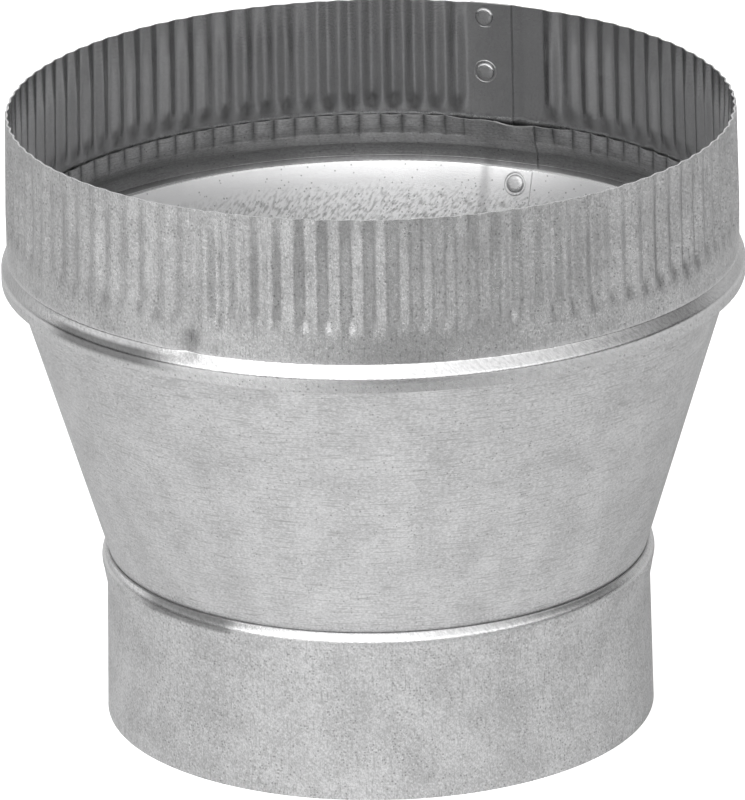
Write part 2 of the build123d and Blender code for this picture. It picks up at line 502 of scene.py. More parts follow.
def wave_tree() -> bpy.types.NodeTree:
    """Geometry Nodes tree that presses evenly spaced waves into a rolled strip and paints shade into their
    hollows.

    Returns:
        The tree, with named inputs for the waves' place, count, depth and scatter.
    """
    canvas, given = node_group(
        "pressed_waves", "GeometryNodeTree",
        (("Geometry", "Geometry"), *((name, "Float") for name in WAVE_SIZES), ("Seed", "Int"),
         ("Material", "Material")),
        (("Geometry", "Geometry"),))

    def attribute(name: str) -> bpy.types.NodeSocket:
        """Reads one of the strip's stored values."""
        node = canvas.add("GeometryNodeInputNamedAttribute", {"Name": name}, data_type="FLOAT")
        return node.outputs["Attribute"]

    def chance(low: Any, high: Any, number: bpy.types.NodeSocket, seed: Any) -> bpy.types.NodeSocket:
        """Draws a value for each wave."""
        node = canvas.add("FunctionNodeRandomValue", {2: low, 3: high, "ID": number, "Seed": seed},
                          data_type="FLOAT")
        return node.outputs[1]

    passed = canvas.math("SUBTRACT", attribute("along"), given["First"])
    span = canvas.math("SUBTRACT", given["Last"], given["First"])
    place = canvas.math("MULTIPLY", canvas.math("DIVIDE", passed, span), given["Count"])
    inside = canvas.math("MULTIPLY", canvas.math("GREATER_THAN", place, 0.0),
                         canvas.math("LESS_THAN", place, given["Count"]))
    number = canvas.math("FLOOR", place)
    turned = canvas.math("COSINE", canvas.math("MULTIPLY", place, FULL_TURN))
    rounded = canvas.math("MULTIPLY_ADD", turned, -0.5, 0.5)
    rounded = canvas.math("POWER", rounded, given["Narrowing"])
    crest = math.acos(CREST_ROUND)
    straight = canvas.math("ARCCOSINE", canvas.math("MULTIPLY", turned, CREST_ROUND))
    straight = canvas.ranged(straight, crest, math.pi - crest)
    wave = canvas.ranged(given["Flatness"], 0.0, 1.0, rounded, straight)
    least = canvas.math("SUBTRACT", 1.0, given["Scatter"])
    strength = chance(least, 1.0, number, given["Seed"])
    late = chance(0.0, given["Start scatter"], number, canvas.math("ADD", given["Seed"], START_SEED_STEP))
    rise = attribute("rise")
    ramp = canvas.ranged(canvas.math("SUBTRACT", rise, late), given["Start"], given["Full"], eased=True)
    fade = canvas.ranged(rise, canvas.math("SUBTRACT", given["Rim"], RIM_FADE * MM), given["Rim"],
                         1.0, given["Rim share"])
    reach = canvas.chain("MULTIPLY", given["Depth"], wave, strength, ramp, fade, inside, attribute("press"))
    position = canvas.add("GeometryNodeInputPosition").outputs[0]
    spot = canvas.add("ShaderNodeSeparateXYZ", {0: position}).outputs
    level = canvas.add("ShaderNodeCombineXYZ", {0: spot[0], 1: spot[1]}).outputs[0]
    inward = canvas.math("MULTIPLY", reach, -1.0)
    shift = canvas.add("ShaderNodeVectorMath", {0: canvas.vector("NORMALIZE", level), "Scale": inward},
                       operation="SCALE").outputs[0]
    moved = canvas.add("GeometryNodeSetPosition", {"Geometry": given["Geometry"], "Offset": shift})
    # Painted shade in the hollows of the waves, added to the shade that the strip already carries
    hollow = canvas.math("SUBTRACT", 1.0, wave)
    hollow_shade = canvas.chain("MULTIPLY", given["Soil"], hollow, hollow, ramp, inside)
    darkening = canvas.add("GeometryNodeStoreNamedAttribute", {
        "Geometry": moved.outputs[0], "Name": "soil", "Value": canvas.math("ADD", attribute("soil"), hollow_shade)},
        data_type="FLOAT", domain="POINT")
    end_tree(canvas, darkening.outputs[0], given["Material"])
    return canvas.tree


def button_tree() -> bpy.types.NodeTree:
    """Geometry Nodes tree that sets a clinched button on each point, along the point's facing.

    Returns:
        The tree, with named inputs for the button and its material.
    """
    canvas, given = node_group(
        "clinched_buttons", "GeometryNodeTree",
        (("Geometry", "Geometry"), ("Button", "Object"), ("Material", "Material")),
        (("Geometry", "Geometry"),))
    facing = canvas.add("GeometryNodeInputNamedAttribute", {"Name": "facing"}, data_type="FLOAT_VECTOR")
    turn = canvas.add("FunctionNodeAlignRotationToVector", {"Vector": facing.outputs["Attribute"]}, axis="Z")
    button = canvas.add("GeometryNodeObjectInfo", {"Object": given["Button"]})
    placed = canvas.add("GeometryNodeInstanceOnPoints", {
        "Points": given["Geometry"], "Instance": button.outputs["Geometry"], "Rotation": turn.outputs[0]})
    end_tree(canvas, placed.outputs[0], given["Material"])
    return canvas.tree


def run_tree(piece: bpy.types.Object, tree: bpy.types.NodeTree, values: dict[str, Any]) -> None:
    """Runs a Geometry Nodes tree on a piece and keeps the result as its plain mesh.

    Args:
        piece: object whose mesh goes in.
        tree: the tree.
        values: what its named inputs are set to.
    """
    modifier = piece.modifiers.new(tree.name, "NODES")
    modifier.node_group = tree
    for item in tree.interface.items_tree:
        if item.item_type == "SOCKET" and item.in_out == "INPUT" and item.name in values:
            modifier[item.identifier] = values[item.name]
    shown = bpy.context.evaluated_depsgraph_get()
    made = bpy.data.meshes.new_from_object(piece.evaluated_get(shown), preserve_all_data_layers=True,
                                           depsgraph=shown)
    piece.modifiers.remove(modifier)
    old = piece.data
    piece.data = made
    made.name = piece.name
    bpy.data.meshes.remove(old)


def store(mesh: bpy.types.Mesh, name: str, kind: str, values: np.ndarray) -> None:
    """Stores a value on each point of a mesh.

    Args:
        mesh: the mesh.
        name: name of the attribute.
        kind: Blender's data type of the attribute.
        values: one row for each point.
    """
    layer = mesh.attributes.new(name, kind, "POINT")
    key = "vector" if kind == "FLOAT_VECTOR" else "value"
    layer.data.foreach_set(key, np.asarray(values, dtype=np.float32).ravel())


def add_piece(name: str, mesh: bpy.types.Mesh) -> bpy.types.Object:
    """Puts a mesh in the scene as an object at the origin.

    Args:
        name: name of the object.
        mesh: its mesh.

    Returns:
        The object.
    """
    piece = bpy.data.objects.new(name, mesh)
    bpy.context.scene.collection.objects.link(piece)
    return piece


@dataclass(frozen=True)
class ClinchedButtons:
    """Round buttons pressed through a lap, in millimetres and degrees."""

    name: str
    slot: str
    facing: Facing
    angle: float
    heights: tuple[float, ...]
    foot_radius: float
    foot_height: float
    taper: float
    button_radius: float = 2.7
    button_rise: float = 0.9
    sides: int = 28
    underside: float = -0.4
    # Crown as shares of the radius and the rise, and the groove round it as shares of the radius and
    # heights, with painted shade in the groove
    crown_top: float = 0.64
    crown: tuple[tuple[float, float], ...] = ((0.45, 0.66), (0.78, 0.62), (0.9, 0.5), (0.98, 0.2))
    groove: tuple[tuple[float, float], ...] = (
        (1.0, -0.2), (1.12, -0.2), (1.14, 0.05), (1.22, 0.08), (1.36, -0.12))
    groove_shade: tuple[float, ...] = (0.5, 0.6, 0.3, 0.0, 0.0)
    burnish: float = 0.3

    def button(self) -> bpy.types.Object:
        """One button, standing on its Z axis.

        Returns:
            The button, which the tree repeats.
        """
        rings = [(share * self.button_radius, rise * self.button_rise) for share, rise in self.crown]
        rings += [(share * self.button_radius, height) for share, height in self.groove]
        turns = np.arange(self.sides) * FULL_TURN / self.sides
        points = [(0.0, 0.0, self.crown_top * self.button_rise)]
        for radius, height in rings:
            points += [(radius * math.cos(turn), radius * math.sin(turn), height) for turn in turns]
        points.append((0.0, 0.0, self.underside))
        last = len(points) - 1
        edge = last - self.sides
        faces = []
        for k in range(self.sides):
            after = (k + 1) % self.sides
            faces.append((0, 1 + k, 1 + after))
            for low in range(1, edge, self.sides):
                high = low + self.sides
                faces.append((low + k, high + k, high + after, low + after))
            faces.append((last, edge + after, edge + k))
        mesh = bpy.data.meshes.new("clinch")
        place = np.array(points) * MM
        mesh.from_pydata(place, [], faces)
        store(mesh, "sheet_place", "FLOAT_VECTOR", place)
        for name in ("bright", "polish"):
            store(mesh, name, "FLOAT", np.full(len(points), self.burnish))
        # Painted shade in the groove round the crown
        soil = np.repeat([0.0] * len(self.crown) + list(self.groove_shade), self.sides)
        store(mesh, "soil", "FLOAT", np.concatenate([[0.0], soil, [0.0]]))
        mesh.polygons.foreach_set("use_smooth", [True] * len(mesh.polygons))
        return add_piece("clinch_template", mesh)

    def build(self, material: bpy.types.Material, tree: bpy.types.NodeTree) -> bpy.types.Object:
        """Sets the buttons on the lap.

        Args:
            material: finish of the sheet that they are pressed from.
            tree: tree that places them.

        Returns:
            The finished piece.
        """
        turn = math.radians(self.angle)
        tilt = math.atan(self.taper)
        out = Vector((math.cos(turn) * math.cos(tilt), math.sin(turn) * math.cos(tilt), -math.sin(tilt)))
        spots = []
        for height in self.heights:
            radius = self.foot_radius + self.taper * (height - self.foot_height)
            spots.append((radius * math.cos(turn) * MM, radius * math.sin(turn) * MM, height * MM))
        mesh = bpy.data.meshes.new(self.name)
        mesh.from_pydata(spots, [], [])
        store(mesh, "facing", "FLOAT_VECTOR", np.array([out * self.facing.value] * len(spots)))
        piece = add_piece(self.name, mesh)
        template = self.button()
        run_tree(piece, tree, {"Button": template, "Material": material})
        shape = template.data
        bpy.data.objects.remove(template)
        bpy.data.meshes.remove(shape)
        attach(piece, BODY)
        LOG.info("%s: %d buttons", piece.name, len(spots))
        return piece


@dataclass
class RolledStrip:
    """Strip of sheet rolled round the duct axis and lapped at the back, in millimetres and degrees."""

    name: str
    node: str
    slot: str
    finish: ZincFinish
    clinches: ClinchedButtons
    seam_angle: float
    wall_radius: float
    lap_style: LapStyle
    joggle_width: float
    outer_grit: float

    def line(self) -> np.ndarray:
        """Outer line of the strip, as radius and height from its lower edge to its upper edge."""
        raise NotImplementedError

    def stations(self) -> np.ndarray:
        """Distances along the strip, from its start, at which its points stand."""
        raise NotImplementedError

    def burnish(self, line: np.ndarray) -> np.ndarray:
        """How far each point of the outer line is burnished by the bead rolls."""
        return np.zeros(len(line))

    def outer_bright(self, line: np.ndarray) -> np.ndarray:
        """How light the fresh zinc is at each point of the outer line."""
        return self.burnish(line)

    def inner_bright(self, line: np.ndarray) -> np.ndarray:
        """How light the fresh zinc is at each point of the inner line."""
        return np.zeros(len(line))

    def inner_polish(self, line: np.ndarray) -> np.ndarray:
        """How smooth the zinc is at each point of the inner line."""
        return np.zeros(len(line))

    def grit(self, line: np.ndarray) -> np.ndarray:
        """How thickly each point of the inner line is speckled."""
        return np.zeros(len(line))

    def soil(self, angle: np.ndarray, height: np.ndarray) -> np.ndarray:
        """How much painted shade darkens the inner wall, where little light gets in."""
        return np.zeros(np.broadcast(angle, height).shape)

    def shade(self, angle: np.ndarray, height: np.ndarray) -> np.ndarray:
        """How much painted shade and a painted dark reflection of the room in a bead darken the outer wall.
        """
        return np.zeros(np.broadcast(angle, height).shape)

    def press(self, angle: np.ndarray) -> np.ndarray:
        """How hard the waves are pressed at each angle."""
        return np.ones_like(angle)

    def swell(self, angle: np.ndarray, height: np.ndarray) -> np.ndarray:
        """How far the wall stands out of round at each point."""
        return np.zeros(np.broadcast(angle, height).shape)

    def sag(self, angle: np.ndarray, height: np.ndarray) -> np.ndarray:
        """How far the wall is drawn down at each point."""
        return np.zeros(np.broadcast(angle, height).shape)

    def waves(self) -> Optional[dict[str, Any]]:
        """Values for the wave tree, where the strip has waves."""
        return None

    def turn_length(self) -> float:
        """Distance along the strip that makes one full turn."""
        return FULL_TURN * self.wall_radius

    def step(self, along: np.ndarray) -> np.ndarray:
        """Steps the strip aside at its lap.

        Args:
            along: distances along the strip.

        Returns:
            How far it steps out at each.
        """
        offset = SHEET + LAP_GAP
        if self.lap_style is LapStyle.END_OUTSIDE:
            return offset * smooth((along - self.turn_length() + self.joggle_width) / self.joggle_width)
        return -offset * (1 - smooth((along - LAP_WIDTH) / self.joggle_width))

    def mesh(self) -> bpy.types.Mesh:
        """Closed shell of the strip, with the values that its tree and finish read.

        Returns:
            The mesh, in metres.
        """
        line = self.line()
        slope = np.gradient(line, axis=0)
        slope /= np.linalg.norm(slope, axis=1)[:, None]
        inner = line - SHEET * np.stack([slope[:, 1], -slope[:, 0]], axis=1)
        inner[[0, -1], 1] = line[[0, -1], 1]
        along = self.stations()
        angle = math.radians(self.seam_angle) + along / self.wall_radius
        across = np.concatenate([[0], np.cumsum(np.linalg.norm(np.diff(line, axis=0), axis=1))])
        walls, places = [], []
        for side, wall in enumerate((line, inner)):
            radius = wall[None, :, 0] + self.step(along)[:, None]
            radius = radius + self.swell(angle[:, None], wall[None, :, 1])
            height = wall[None, :, 1] - self.sag(angle[:, None], wall[None, :, 1])
            spots = (radius * np.cos(angle)[:, None], radius * np.sin(angle)[:, None], height)
            walls.append(np.stack(spots, axis=2).reshape(-1, 3))
            place = np.meshgrid(along, across + side * INNER_PATTERN_SHIFT, indexing="ij")
            places.append(np.stack([place[0], place[1], np.zeros_like(place[0])], axis=2).reshape(-1, 3))
        mesh = bpy.data.meshes.new(self.name)
        points = np.concatenate(walls) * MM
        mesh.from_pydata(points, [], self.faces(len(along), len(line)))
        both = np.concatenate(places) * MM
        store(mesh, "sheet_place", "FLOAT_VECTOR", both)
        store(mesh, "along", "FLOAT", both[:, 0])
        store(mesh, "rise", "FLOAT", points[:, 2])
        for name, outside, inside in (
            ("bright", self.outer_bright(line), self.inner_bright(inner)),
            ("polish", self.burnish(line), self.inner_polish(inner)),
            ("grit", np.full(len(line), self.outer_grit), self.grit(inner)),
        ):
            spread = [np.tile(values, len(along)) for values in (outside, inside)]
            store(mesh, name, "FLOAT", np.concatenate(spread))
        store(mesh, "press", "FLOAT", np.tile(np.repeat(self.press(angle), len(line)), 2))
        # Painted shade and a painted dark reflection on the outer wall, painted shade on the inner wall
        shaded = self.shade(angle[:, None], line[None, :, 1]).ravel()
        darkening = self.soil(angle[:, None], inner[None, :, 1]).ravel()
        store(mesh, "soil", "FLOAT", np.concatenate([shaded, darkening]))
        return mesh

    @staticmethod
    def faces(columns: int, rows: int) -> np.ndarray:
        """Quads of a closed shell, outer wall first.

        Args:
            columns: points along the strip.
            rows: points across it.

        Returns:
            Four point numbers for each quad, turned outwards.
        """
        outer = np.arange(columns * rows).reshape(columns, rows)
        inner = outer + columns * rows
        quads = [
            (outer[:-1, :-1], outer[1:, :-1], outer[1:, 1:], outer[:-1, 1:]),
            (inner[:-1, :-1], inner[:-1, 1:], inner[1:, 1:], inner[1:, :-1]),
            (outer[:-1, 0], inner[:-1, 0], inner[1:, 0], outer[1:, 0]),
            (outer[:-1, -1], outer[1:, -1], inner[1:, -1], inner[:-1, -1]),
            (outer[0, :-1], outer[0, 1:], inner[0, 1:], inner[0, :-1]),
            (outer[-1, :-1], inner[-1, :-1], inner[-1, 1:], outer[-1, 1:]),
        ]
        return np.concatenate([np.stack([part.ravel() for part in quad], axis=1) for quad in quads])

    def build(self, effects: ZincEffects, waves: bpy.types.NodeTree) -> bpy.types.Object:
        """Makes the strip's piece and puts it in the frame.

        Args:
            effects: the shared shader groups.
            waves: tree that presses waves into a strip.

        Returns:
            The finished piece.
        """
        piece = add_piece(self.name, self.mesh())
        material = self.finish.material(effects)
        values = self.waves()
        if values is None:
            piece.data.materials.append(material)
        else:
            run_tree(piece, waves, {**values, "Material": material})
        piece.data.polygons.foreach_set("use_smooth", [True] * len(piece.data.polygons))
        piece.data.set_sharp_from_angle(angle=SHARP_ANGLE)
        piece.data.update()
        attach(piece, BODY)
        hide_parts(self.node)
        LOG.info("%s: %d quads", piece.name, len(piece.data.polygons))
        return piece


@dataclass
class CrimpedCollar(RolledStrip):
    """Ring at the large end, plain where it holds the body's flange and crimped above."""

    name: str = "crimped_collar_shell"
    node: str = "crimped_collar"
    slot: str = "crimped_collar_sheet"
    finish: ZincFinish = COLLAR_ZINC
    clinches: ClinchedButtons = ClinchedButtons(
        name="collar_clinches", slot="crimped_collar_sheet", facing=Facing.INSIDE, angle=70.8,
        heights=(154.4, 171.0), foot_radius=100.75, foot_height=154.4, taper=-0.02)
    seam_angle: float = 66.2
    wall_radius: float = COLLAR_RADIUS
    lap_style: LapStyle = LapStyle.END_OUTSIDE
    joggle_width: float = 5.0
    outer_grit: float = 0.3
    rim_radius: float = 100.75
    rim_height: float = 175.0
    edge_height: float = 127.6
    bead_step: float = 1.2
    bead_arc_parts: int = 5
    crimp_start: float = 140.4
    crimp_full: float = 147.8
    crimp_depth: float = 1.45
    settle_margin: float = 1.0
    run_out_rows: int = 10
    wall_rows: int = 12
    first_margin: float = 1.0
    last_margin: float = 10.0
    points_per_crimp: int = 10
    first_points: int = 24
    last_points: int = 38
    # Crease above the bead at the front left, with its swollen side and painted shade in its hollow
    crease: Hump = Hump(-119.4, 2.6)
    crease_side: Hump = Hump(-124.08, 4.16)
    crease_rise: Hump = Hump(139.0, 6.5)
    crease_depth: float = 0.75
    crease_side_share: float = 0.5
    hollow: Hump = Hump(-119.0, 2.4)
    hollow_rise: Hump = Hump(139.6, 4.2)
    hollow_share: float = 0.5
    # Shallow crimps at the left, and a painted dark reflection on the bead there
    shallow: Hump = Hump(-144.0, 36.0)
    shallow_share: float = 0.45
    shade_turn: Band = Band(-151.0, -119.0, 8.0, 10.0)
    shade_rise: Band = Band(128.2, BEAD_TOP - 1.0, 1.6, 1.0)
    shade_share: float = 0.68
    # Fresh and burnished zinc
    polished: Band = Band(BEAD_SHOULDER - 1.2, BEAD_TOP + 0.5, 0.8, 0.4)
    land_bright: float = 0.5
    land_soft: float = 0.4
    inside_bright: float = 0.6
    inside_polish: float = 0.8
    inside_soft: float = 2.0
    # Painted shade inside, deepest where the flange stands off
    inside_shade: float = 0.3
    gap_turn: Band = Band(56.5, 77.5, 2.625, 2.625)
    gap_top: float = FLANGE_HEIGHT + 0.1
    gap_soft: float = 0.6
    gap_shade: float = 0.9

    def line(self) -> np.ndarray:
        """Bead and straight wall, with rows close together where the crimps run out.

        Returns:
            Radius and height of each point.
        """
        foot = rounded_line([
            (BEAD_RADIUS, self.edge_height, 0.0),
            (BEAD_RADIUS, BEAD_SHOULDER, BEAD_SHOULDER_ROUND),
            (COLLAR_RADIUS, BEAD_TOP, BEAD_TOP_ROUND),
            (COLLAR_RADIUS, self.crimp_start, 0.0),
        ], self.bead_step, self.bead_arc_parts)
        settled = self.crimp_full + self.settle_margin
        heights = np.concatenate([
            np.linspace(self.crimp_start, settled, self.run_out_rows)[1:-1],
            np.linspace(settled, self.rim_height, self.wall_rows),
        ])
        narrowing = (heights - self.crimp_full) / (self.rim_height - self.crimp_full)
        radii = COLLAR_RADIUS + (self.rim_radius - COLLAR_RADIUS) * np.clip(narrowing, 0, 1)
        return np.concatenate([foot, np.stack([radii, heights], axis=1)])

    def crimped_span(self) -> tuple[float, float]:
        """Distances along the strip at which its crimps start and end."""
        return LAP_WIDTH + self.first_margin, self.turn_length() - self.last_margin

    def stations(self) -> np.ndarray:
        """Points that keep step with the crimps.

        Returns:
            Distances along the strip.
        """
        first, last = self.crimped_span()
        return np.concatenate([
            np.linspace(0, first, self.first_points)[:-1],
            np.linspace(first, last, CRIMP_COUNT * self.points_per_crimp + 1)[:-1],
            np.linspace(last, self.turn_length() + LAP_WIDTH, self.last_points),
        ])

    def burnish(self, line: np.ndarray) -> np.ndarray:
        """The bead's upper slope is rubbed bright by the rolls."""
        return self.polished.share(line[:, 1])

    def outer_bright(self, line: np.ndarray) -> np.ndarray:
        """The whole bead is lighter than the wall above it."""
        land = self.land_bright * smooth((BEAD_TOP - line[:, 1]) / self.land_soft)
        return np.maximum(self.burnish(line), land)

    def inner_bright(self, line: np.ndarray) -> np.ndarray:
        """The inside of the crimped wall is fresh zinc."""
        return self.inside_bright * smooth((line[:, 1] - FLANGE_HEIGHT) / self.inside_soft)

    def inner_polish(self, line: np.ndarray) -> np.ndarray:
        """The crimping rolls leave the inside of the wall smooth."""
        return self.inside_polish * smooth((line[:, 1] - FLANGE_HEIGHT) / self.inside_soft)

    def shade(self, angle: np.ndarray, height: np.ndarray) -> np.ndarray:
        """Paints a dark reflection on the lower half of the bead at the left, and shade in the hollow of the
        crease.

        Args:
            angle: angles round the duct.
            height: heights.

        Returns:
            How dark each point is.
        """
        turn = azimuth(angle)
        # Painted dark reflection on the lower half of the bead at the left
        band = self.shade_share * self.shade_turn.share(turn) * self.shade_rise.share(height)
        # Painted shade in the hollow of the crease
        dent = self.hollow_share * self.hollow.share(turn) * self.hollow_rise.share(height)
        return np.maximum(band, dent)

    def soil(self, angle: np.ndarray, height: np.ndarray) -> np.ndarray:
        """Painted shade on the whole inner wall, deepest behind the flange where it stands off."""
        low = smooth((self.gap_top - height) / self.gap_soft)
        return np.maximum(self.gap_shade * self.gap_turn.share(azimuth(angle)) * low, self.inside_shade)

    def swell(self, angle: np.ndarray, height: np.ndarray) -> np.ndarray:
        """A crease above the bead at the front left, pressed in on one side and out on the other.

        Args:
            angle: angles round the duct.
            height: heights.

        Returns:
            How far each point stands out of round.
        """
        turn = azimuth(angle)
        across = self.crease_side_share * self.crease_side.share(turn) - self.crease.share(turn)
        return self.crease_depth * across * self.crease_rise.share(height)

    def press(self, angle: np.ndarray) -> np.ndarray:
        """The crimps are shallowest at the left."""
        return 1.0 - self.shallow_share * self.shallow.share(azimuth(angle))

    def waves(self) -> dict[str, Any]:
        """The crimps, each of its own depth."""
        first, last = self.crimped_span()
        return {"First": first * MM, "Last": last * MM, "Count": float(CRIMP_COUNT),
                "Depth": self.crimp_depth * MM, "Start": self.crimp_start * MM, "Full": self.crimp_full * MM,
                "Narrowing": 1.0, "Scatter": 0.42, "Start scatter": 0.8 * MM, "Flatness": 0.8,
                "Rim": self.rim_height * MM, "Rim share": 0.5, "Soil": 0.0, "Seed": 11}


@dataclass
class TaperedBody(RolledStrip):
    """Cone with a bead and flange at its top and a bulged skirt at its foot."""

    name: str = "tapered_body_shell"
    node: str = "tapered_body"
    slot: str = "tapered_body_sheet"
    finish: ZincFinish = BODY_ZINC
    clinches: ClinchedButtons = ClinchedButtons(
        name="body_clinches", slot="tapered_body_sheet", facing=Facing.INSIDE, angle=64.8,
        heights=(60.0, 122.8), foot_radius=74.62, foot_height=49.2, taper=0.301)
    seam_angle: float = 62.0
    wall_radius: float = 98.9
    lap_style: LapStyle = LapStyle.START_INSIDE
    joggle_width: float = 4.0
    outer_grit: float = 0.1
    skirt_radius: float = 75.6
    skirt_height: float = 38.5
    skirt_rows: int = 4
    lock_round: float = 3.9
    lock_turns: tuple[float, float] = (-48.0, 50.0)
    lock_rows: int = 12
    cone_foot: tuple[float, float] = (75.75, 49.2)
    cone_top: tuple[float, float] = (99.1, 126.8)
    cone_top_round: float = 0.8
    bead_underside: float = 127.1
    bead_underside_round: float = 0.7
    wall_step: float = 5.0
    wall_arc_parts: int = 4
    imprint_depth: float = 1.0
    imprint_start: float = 133.6
    imprint_full: float = 135.6
    imprint_first: float = 21.0
    imprint_stations: tuple[float, ...] = (0.0, 0.05, 0.12, 0.22, 0.5, 0.78, 0.88, 0.95)
    first_points: int = 24
    lap_points: int = 13
    # Stretches of flange that lean in beside the lap: where, and how far at the edge
    leans: tuple[tuple[Hump, float], ...] = (
        (Hump(73.0, 4.5), 1.2), (Hump(65.5, 6.5), 2.2), (Hump(59.0, 4.0), 1.0))
    lean_sag: float = 0.35
    # Zinc inside, with painted shade in the channel inside the bead
    inside_bright: float = 0.9
    bright_soft: float = 0.4
    bend_soft: float = 0.9
    grit_height: float = 122.0
    grit_soft: float = 6.0
    channel_shade: float = 0.5
    channel_soft: tuple[float, float] = (0.5, 1.2)

    def line(self) -> np.ndarray:
        """Skirt, bulge, cone, bead and flange.

        Returns:
            Radius and height of each point.
        """
        bulge = arc(LOCK_CENTRE, self.lock_round, self.lock_turns, self.lock_rows)
        skirt = np.linspace([self.skirt_radius, self.skirt_height], bulge[0], self.skirt_rows)[:-1]
        wall = rounded_line([
            (*self.cone_foot, 0.0),
            (*self.cone_top, self.cone_top_round),
            (BEAD_RADIUS - NEST, self.bead_underside, self.bead_underside_round),
            (BEAD_RADIUS - NEST, BEAD_SHOULDER, BEAD_SHOULDER_ROUND),
            (COLLAR_RADIUS - NEST, BEAD_TOP, BEAD_TOP_ROUND),
            (COLLAR_RADIUS - NEST, FLANGE_HEIGHT, 0.0),
        ], self.wall_step, self.wall_arc_parts)
        return np.concatenate([skirt, bulge, wall])

    def stations(self) -> np.ndarray:
        """Points that crowd together at the imprints.

        Returns:
            Distances along the strip.
        """
        turn = self.turn_length()
        pitch = (turn - self.imprint_first) / CRIMP_COUNT
        marks = np.add.outer(np.arange(CRIMP_COUNT), np.array(self.imprint_stations)).ravel()
        return np.concatenate([
            np.linspace(0, self.imprint_first, self.first_points)[:-1],
            self.imprint_first + marks * pitch,
            np.linspace(turn, turn + LAP_WIDTH, self.lap_points),
        ])

    def inner_bright(self, line: np.ndarray) -> np.ndarray:
        """The cone's zinc is lightest inside."""
        return self.inside_bright * smooth((self.bead_underside + SHEET - line[:, 1]) / self.bright_soft)

    def inner_polish(self, line: np.ndarray) -> np.ndarray:
        """The bend between the cone and its bead is rubbed smooth."""
        return Hump(self.bead_underside, self.bend_soft).share(line[:, 1])

    def grit(self, line: np.ndarray) -> np.ndarray:
        """The lower part of the cone is speckled inside."""
        return smooth((self.grit_height - line[:, 1]) / self.grit_soft)

    def soil(self, angle: np.ndarray, height: np.ndarray) -> np.ndarray:
        """Painted shade in the channel inside the bead."""
        channel = Band(self.bead_underside, BEAD_TOP, *self.channel_soft)
        return self.channel_shade * channel.share(height) + np.zeros_like(angle)

    def lifted(self, angle: np.ndarray, height: np.ndarray) -> np.ndarray:
        """Leans the flange in beside the lap, where it stands off the collar.

        Args:
            angle: angles round the duct.
            height: heights.

        Returns:
            How far each point leans in.
        """
        turn = azimuth(angle)
        depth = sum(reach * hump.share(turn) for hump, reach in self.leans)
        return depth * smooth((height - BEAD_TOP) / (FLANGE_HEIGHT - BEAD_TOP))

    def swell(self, angle: np.ndarray, height: np.ndarray) -> np.ndarray:
        """The flange leans in beside the lap."""
        return -self.lifted(angle, height)

    def sag(self, angle: np.ndarray, height: np.ndarray) -> np.ndarray:
        """The leaning part of the flange stands lower."""
        return self.lean_sag * self.lifted(angle, height)

    def waves(self) -> dict[str, Any]:
        """Ribs that the crimping rolls press into the flange, with painted shade in the narrow grooves
        between them.
        """
        return {"First": self.imprint_first * MM, "Last": self.turn_length() * MM,
                "Count": float(CRIMP_COUNT), "Depth": self.imprint_depth * MM,
                "Start": self.imprint_start * MM, "Full": self.imprint_full * MM,
                "Narrowing": 0.45, "Scatter": 0.5, "Start scatter": 0.8 * MM,
                "Flatness": 0.0, "Rim": 1.0, "Rim share": 1.0, "Soil": 0.75, "Seed": 23}


@dataclass
class PlainCollar(RolledStrip):
    """Ring at the small end, with a bead that grips the body's bulge."""

    name: str = "plain_collar_shell"
    node: str = "plain_collar"
    slot: str = "plain_collar_sheet"
    finish: ZincFinish = PLAIN_ZINC
    clinches: ClinchedButtons = ClinchedButtons(
        name="plain_clinches", slot="plain_collar_sheet", facing=Facing.OUTSIDE, angle=70.7,
        heights=(10.8, 30.8), foot_radius=77.36, foot_height=10.8, taper=-0.024)
    seam_angle: float = 66.0
    wall_radius: float = NECK_RADIUS
    lap_style: LapStyle = LapStyle.END_OUTSIDE
    joggle_width: float = 5.0
    outer_grit: float = 0.35
    spacing: float = 1.2
    foot_radius: float = 77.05
    wall_rows: int = 8
    flare_start: float = 37.0
    flare_rows: int = 7
    bead_round: float = 4.5
    bead_turns: tuple[float, float] = (-25.0, 42.0)
    bead_rows: int = 16
    lip: tuple[tuple[float, float], ...] = ((-0.08, 0.12), (-0.15, 0.3))
    # Burnished bead, with a painted dark reflection at the left
    polish_start: float = 45.7
    polish_soft: float = 1.2
    lip_margin: float = 0.01
    shade_turn: Band = Band(-150.0, -120.0, 8.0, 4.0)
    shade_start: float = 44.6
    shade_soft: float = 1.0
    shade_share: float = 0.55

    def line(self) -> np.ndarray:
        """Straight wall, flare, round bead and lip.

        Returns:
            Radius and height of each point.
        """
        bead = arc(LOCK_CENTRE, self.bead_round, self.bead_turns, self.bead_rows)
        wall = np.linspace([self.foot_radius, 0.0], [NECK_RADIUS, self.flare_start], self.wall_rows)
        heights = np.linspace(self.flare_start, bead[0, 1], self.flare_rows)[1:-1]
        rise = smooth((heights - self.flare_start) / (bead[0, 1] - self.flare_start))
        flare = np.stack([NECK_RADIUS + (bead[0, 0] - NECK_RADIUS) * rise, heights], axis=1)
        return np.concatenate([wall, flare, bead, bead[-1] + np.array(self.lip)])

    def stations(self) -> np.ndarray:
        """Points at an even spacing."""
        length = self.turn_length() + LAP_WIDTH
        return np.linspace(0, length, math.ceil(length / self.spacing) + 1)

    def burnish(self, line: np.ndarray) -> np.ndarray:
        """The bead is rubbed bright, and its lip is left dull.

        Args:
            line: radius and height of each point of the outer line.

        Returns:
            How far each point is burnished.
        """
        height = line[:, 1]
        bead_top = line[-1 - len(self.lip), 1]
        rubbed = smooth((height - self.polish_start) / self.polish_soft)
        return rubbed * np.where(height > bead_top + self.lip_margin, 0.0, 1.0)

    def shade(self, angle: np.ndarray, height: np.ndarray) -> np.ndarray:
        """Paints a dark reflection on the bead at the left."""
        rise = smooth((height - self.shade_start) / self.shade_soft)
        return self.shade_share * self.shade_turn.share(azimuth(angle)) * rise


